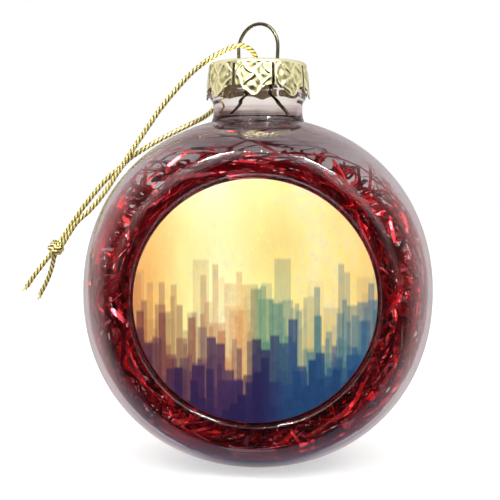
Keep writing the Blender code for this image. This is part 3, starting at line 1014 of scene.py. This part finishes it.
def make_cord(look):
    route = evenly_spaced(catmull_rom([Vector(point) for point in CORD_ROUTE], 16), 0.22)
    cord = add_object(tube_mesh("cord_twisted", route, ply_radius, 24, "ply_crown"), look)
    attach(cord, "hanger")
    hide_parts("cord_loop", "cord_tail_outer", "cord_tail_inner")
    wraps = evenly_spaced(catmull_rom(knot_wrap_points(), 3), 0.15)
    knot = add_object(tube_mesh("cord_knot_wraps", wraps, ply_radius, 20, "ply_crown"), look)
    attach(knot, "hanger")
    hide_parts("cord_knot")
    for seed, (end, inner) in enumerate(((route[0], route[6]), (route[-1], route[-7]))):
        fray = make_fray(end, (end - inner).normalized(), seed + 1, look)
        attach(fray, "hanger")


# ---- tinsel


def scatter(source, spread):
    """A random vector about zero."""
    return Vector([source.gauss(0.0, spread) for _ in range(3)])


def ring_spot(angle, ring, depth):
    """A place at this angle and distance round the picture's axis."""
    return Vector((ring * cos(angle), depth, ring * sin(angle)))


def ring_aim(source, angle, depth_spread, spread):
    """A direction round the picture's axis, with some scatter."""
    along = Vector((-sin(angle), source.gauss(0.0, depth_spread), cos(angle)))
    return (along + scatter(source, spread)).normalized()


def keep_inside(point, ceiling=TINSEL_REACH):
    """Moves a tinsel point back inside the ball's hollow and under the top of the pile."""
    out = point - BALL_CENTRE
    out.z = min(out.z, ceiling)
    if out.length > TINSEL_REACH:
        out = out.normalized() * TINSEL_REACH
    ring = hypot(out.x, out.z)
    front = TINSEL_FRONT_Y if ring < TINSEL_STEP_RADIUS else TINSEL_RIM_Y
    out.y = max(out.y, front)
    return BALL_CENTRE + out


def ribbon_route(source, centre, aim, length, bend, ceiling=TINSEL_REACH, crease_chance=0.04):
    """A springy, now and then creased line through the hollow that runs both ways from centre."""
    axis = scatter(source, 1.0).normalized()
    halves = []
    for sign in (1.0, -1.0):
        heading = aim * sign
        point = centre.copy()
        half = []
        for _ in range(int(length / 2.0 / RIBBON_STEP)):
            heading = (heading + axis.cross(heading) * (RIBBON_STEP / bend) * sign).normalized()
            crease = SHARP_CREASE if source.random() < crease_chance else SLIGHT_BEND
            heading = (heading + scatter(source, crease)).normalized()
            moved = keep_inside(point + heading * RIBBON_STEP, ceiling)
            if (moved - point).length > 0.3:
                heading = (moved - point).normalized()
            point = moved
            half.append(point)
        halves.append(half)
    return list(reversed(halves[1])) + [centre] + halves[0]


def add_ribbon(film, source, route, width, shades=RIBBON_SHADES):
    """Adds one thin closed ribbon that twists along its route to film: points, faces and shades."""
    verts, faces, values = film
    shade = source.choice(shades)
    twist = source.uniform(0.0, tau)
    rate = source.gauss(0.0, 0.05)
    first = len(verts)
    for k, (point, (side, other)) in enumerate(zip(route, frames_along(route))):
        twist += rate + source.gauss(0.0, 0.035)
        taper = min(1.0, 0.4 + min(k, len(route) - 1 - k) * 0.6)
        across = (side * cos(twist) + other * sin(twist)) * width * taper / 2.0
        lift = (other * cos(twist) - side * sin(twist)) * RIBBON_THICKNESS / 2.0
        verts += [point + across + lift, point - across + lift, point - across - lift, point + across - lift]
        values += [shade] * 4
    for k in range(len(route) - 1):
        base = first + 4 * k
        for a in range(4):
            b = (a + 1) % 4
            faces.append((base + a, base + b, base + 4 + b, base + 4 + a))
    faces.append((first + 3, first + 2, first + 1, first))
    last = first + 4 * (len(route) - 1)
    faces.append((last, last + 1, last + 2, last + 3))


def ribbon_start(source):
    """A start near the ring behind the picture's rim, or now and then elsewhere in the hollow."""
    if source.random() < 0.72:
        angle = source.uniform(0.0, tau)
        widest = 37.0 - 7.0 * max(0.0, sin(angle)) ** 2
        ring = source.triangular(21.0, widest, 29.0)
        spot = ring_spot(angle, ring, source.triangular(TINSEL_FRONT_Y, 14.0, -16.0))
        aim = ring_aim(source, angle, 0.3, 0.5)
    else:
        spot = scatter(source, 1.0).normalized() * source.uniform(14.0, 35.0)
        spot.y = abs(spot.y)
        aim = scatter(source, 1.0).normalized()
    if spot.z > 22.0 and spot.y > -18.0 and source.random() < 0.88:
        spot.z = -spot.z
    return keep_inside(BALL_CENTRE + spot), aim


def stray_route(source):
    """A long thin strand that lies against the shoulder, well above the rest."""
    angle = source.uniform(radians(35.0), radians(145.0))
    lean = source.uniform(-0.75, 0.35)
    spot = Vector((cos(angle), lean, sin(angle))).normalized() * source.uniform(33.0, TINSEL_REACH)
    aim = Vector((1.0, source.gauss(0.0, 0.35), source.gauss(0.0, 0.25))).normalized()
    length = source.uniform(18.0, 42.0)
    return ribbon_route(source, keep_inside(BALL_CENTRE + spot), aim, length, 60.0, crease_chance=0.0)


def edge_route(source):
    """A strand pressed against the ball's wall at its sides and below, where its outline is seen."""
    angle = source.uniform(radians(-215.0), radians(35.0))
    ring = source.uniform(33.5, TINSEL_REACH)
    start = keep_inside(BALL_CENTRE + ring_spot(angle, ring, source.uniform(-15.0, 12.0)))
    aim = ring_aim(source, angle, 0.7, 0.3)
    return ribbon_route(source, start, aim, source.uniform(12.0, 34.0), 60.0, 30.0)


def crest_route(source):
    """A strand packed behind the rim over the picture, where the pile is low but dense."""
    angle = source.uniform(radians(35.0), radians(145.0))
    ring = source.uniform(25.0, 30.5)
    start = keep_inside(BALL_CENTRE + ring_spot(angle, ring, source.uniform(TINSEL_FRONT_Y, -10.0)))
    aim = ring_aim(source, angle, 0.3, 0.15)
    return ribbon_route(source, start, aim, source.uniform(12.0, 28.0), 40.0, 31.0)


def make_tinsel(look):
    source = random.Random(TINSEL_SEED)
    for tuft in range(TUFTS):
        film = ([], [], [])
        add_ribbon(film, source, stray_route(source), source.uniform(0.22, 0.4))
        for _ in range(RIBBONS_PER_TUFT):
            centre, aim = ribbon_start(source)
            width = source.choice(RIBBON_WIDTHS)
            length = source.uniform(14.0, 50.0)
            ceiling = source.triangular(14.0, 33.0, 31.0)
            route = ribbon_route(source, centre, aim, length, source.uniform(24.0, 200.0), ceiling)
            add_ribbon(film, source, route, width)
        # Strands along the outline take lighter tones: painted light.
        for _ in range(EDGE_RIBBONS_PER_TUFT):
            width = source.uniform(0.25, 0.8)
            add_ribbon(film, source, edge_route(source), width, EDGE_PAINTED_LIGHT_TONES)
        # Strands behind the rim over the picture take darker tones: painted shade.
        for _ in range(CREST_RIBBONS_PER_TUFT):
            width = source.uniform(0.4, 1.0)
            add_ribbon(film, source, crest_route(source), width, CREST_PAINTED_SHADE_TONES)
        verts, faces, values = film
        mesh = mesh_from(f"tinsel_tuft_{tuft + 1:02d}", [tuple(v) for v in verts], faces, 12.0)
        mesh.attributes.new("ribbon_shade", "FLOAT", "POINT").data.foreach_set("value", values)
        piece = add_object(mesh, look)
        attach(piece, "ball")
        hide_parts(f"tinsel_strand_{tuft + 1:02d}")


# ---- stage


def make_camera():
    side = radians(CAMERA_SIDE_DEG)
    data = bpy.data.cameras.new("camera")
    data.lens = CAMERA_LENS
    data.sensor_width = 36.0
    data.clip_start = 0.01
    camera = add_object(data)
    camera.location = (
        CAMERA_DISTANCE * sin(side) * MM,
        -CAMERA_DISTANCE * cos(side) * MM,
        (BALL_CENTRE.z + CAMERA_RISE) * MM,
    )
    turn = radians(CAMERA_SIDE_DEG + CAMERA_TURN_DEG)
    camera.rotation_euler = (radians(90.0 - CAMERA_PITCH_DEG), 0.0, turn)
    bpy.context.scene.camera = camera


def add_softbox(name, place, size, power, lights_all=True):
    """A rectangular lamp aimed at the ball. One that doesn't light all is only seen in shiny surfaces."""
    data = bpy.data.lights.new(name, "AREA")
    data.shape = "RECTANGLE"
    data.size, data.size_y = size
    data.energy = power
    lamp = add_object(data)
    lamp.location = place
    lamp.rotation_euler = (LAMP_AIM - Vector(place)).to_track_quat("-Z", "Y").to_euler()
    lamp.visible_diffuse = lights_all


def make_world():
    """A studio round the ball: white when seen directly and a warm grey sweep when seen through it.

    Reflections show bright windows round a dark opening in front, and a dark table. Metal reflects white
    walls at the sides; the clear plastic, whose rays are singular, reflects dim walls and slate below.
    """
    world = bpy.data.worlds.new("studio")
    bpy.context.scene.world = world
    world.use_nodes = True
    tree = world.node_tree
    place = position_parts(tree, "Generated")
    depth = scaled(place["Y"], 0.5, 0.5)
    front = [
        (0.0, (0.01, 0.01, 0.01)),
        (0.018, (0.02, 0.02, 0.02)),
        (0.045, (0.62, 0.62, 0.62)),
        (0.14, (0.80, 0.80, 0.80)),
        (0.30, (0.35, 0.35, 0.36)),
    ]
    white_walls = [(0.46, (1.0, 0.98, 0.98)), (0.70, (1.0, 0.98, 0.98)), (1.0, (0.55, 0.54, 0.55))]
    dim_walls = [
        (0.42, (0.08, 0.08, 0.08)),
        (0.68, (0.14, 0.11, 0.11)),
        (0.79, (0.62, 0.50, 0.50)),
        (0.90, (0.72, 0.62, 0.62)),
        (1.0, (0.66, 0.60, 0.60)),
    ]
    in_metal = ramp(depth, front + white_walls)
    in_plastic = ramp(depth, front + dim_walls)
    below = scaled(place["Z"], -3.3, -1.15, clamp=True)
    in_plastic = mix_colour(tree, below, in_plastic, (0.20, 0.19, 0.25))
    path = node(tree, "ShaderNodeLightPath")
    mirrored = mix_colour(tree, path.outputs["Is Singular Ray"], in_metal, in_plastic)
    level = scaled(place["Z"], 9.0, 0.6, clamp=True)
    behind = scaled(place["Y"], 3.0, 0.1, clamp=True)
    table = math_node("MAXIMUM", level, behind)
    mirrored = mix_colour(tree, table, (0.035, 0.035, 0.04), mirrored)
    side = math_node("ABSOLUTE", place["X"])
    through = ramp(side, [(0.3, (0.91, 0.86, 0.80)), (0.72, (1.0, 0.97, 0.95))])
    reflected = math_node("GREATER_THAN", path.outputs["Glossy Depth"], 0.5)
    sky = mix_colour(tree, reflected, through, mirrored)
    seen = mix_colour(tree, path.outputs["Is Camera Ray"], sky, WHITE)
    background = tree.nodes["Background"]
    link(seen, background.inputs["Color"])
    set_inputs(background, Strength=1.0)


def make_floor():
    """White paper that glows a little towards the camera, so that it is as pale as the background."""
    look, tree, shader = new_material("floor_paper")
    grain = noise(tree, 300.0, 4.0)
    paper = ramp(grain, [(0.3, (0.72, 0.72, 0.74)), (0.7, (0.75, 0.75, 0.77))])
    link(paper, shader.inputs["Base Color"])
    set_inputs(shader, Roughness=0.9, Emission_Color=(*WHITE, 1.0))
    path = node(tree, "ShaderNodeLightPath")
    glow = math_node("MULTIPLY", path.outputs["Is Camera Ray"], 0.5)
    link(glow, shader.inputs["Emission Strength"])
    bm = bmesh.new()
    bmesh.ops.create_grid(bm, x_segments=8, y_segments=8, size=FLOOR_HALF_SIDE)
    floor = add_object(mesh_of("floor", bm), look)
    floor.location.z = -FLOOR_GAP
    floor.visible_glossy = False
    floor.visible_transmission = False


def make_lights():
    """Two soft keys, and narrow lamps and a row of bulbs for the highlights over the picture's rim."""
    add_softbox("key_left", (-0.30, -0.60, 0.44), KEY_SIZE, KEY_POWER)
    add_softbox("key_right", (0.34, -0.60, 0.44), KEY_SIZE, KEY_POWER)
    add_softbox("shine_left", (-0.185, -0.42, 0.60), SHINE_SIZE, SHINE_POWER, False)
    add_softbox("shine_right", (0.255, -0.42, 0.60), SHINE_SIZE, SHINE_POWER, False)
    for number in range(BULBS):
        across = -0.10 + 0.26 * number / (BULBS - 1)
        add_softbox(f"bulb_{number:02d}", (across, -0.44, 0.53), BULB_SIZE, BULB_POWER, False)


def set_colour_view():
    scene = bpy.context.scene
    scene.view_settings.view_transform = "Standard"
    scene.view_settings.look = "None"


make_camera()
make_cord(cord_gold())
make_hanger(bronze_wire())
make_shell(clear_plastic())
make_picture(bare_aluminium(), printed_face(), foam_tape())
make_cap(cap_gold())
make_tinsel(red_film())
make_world()
make_floor()
make_lights()
set_colour_view()
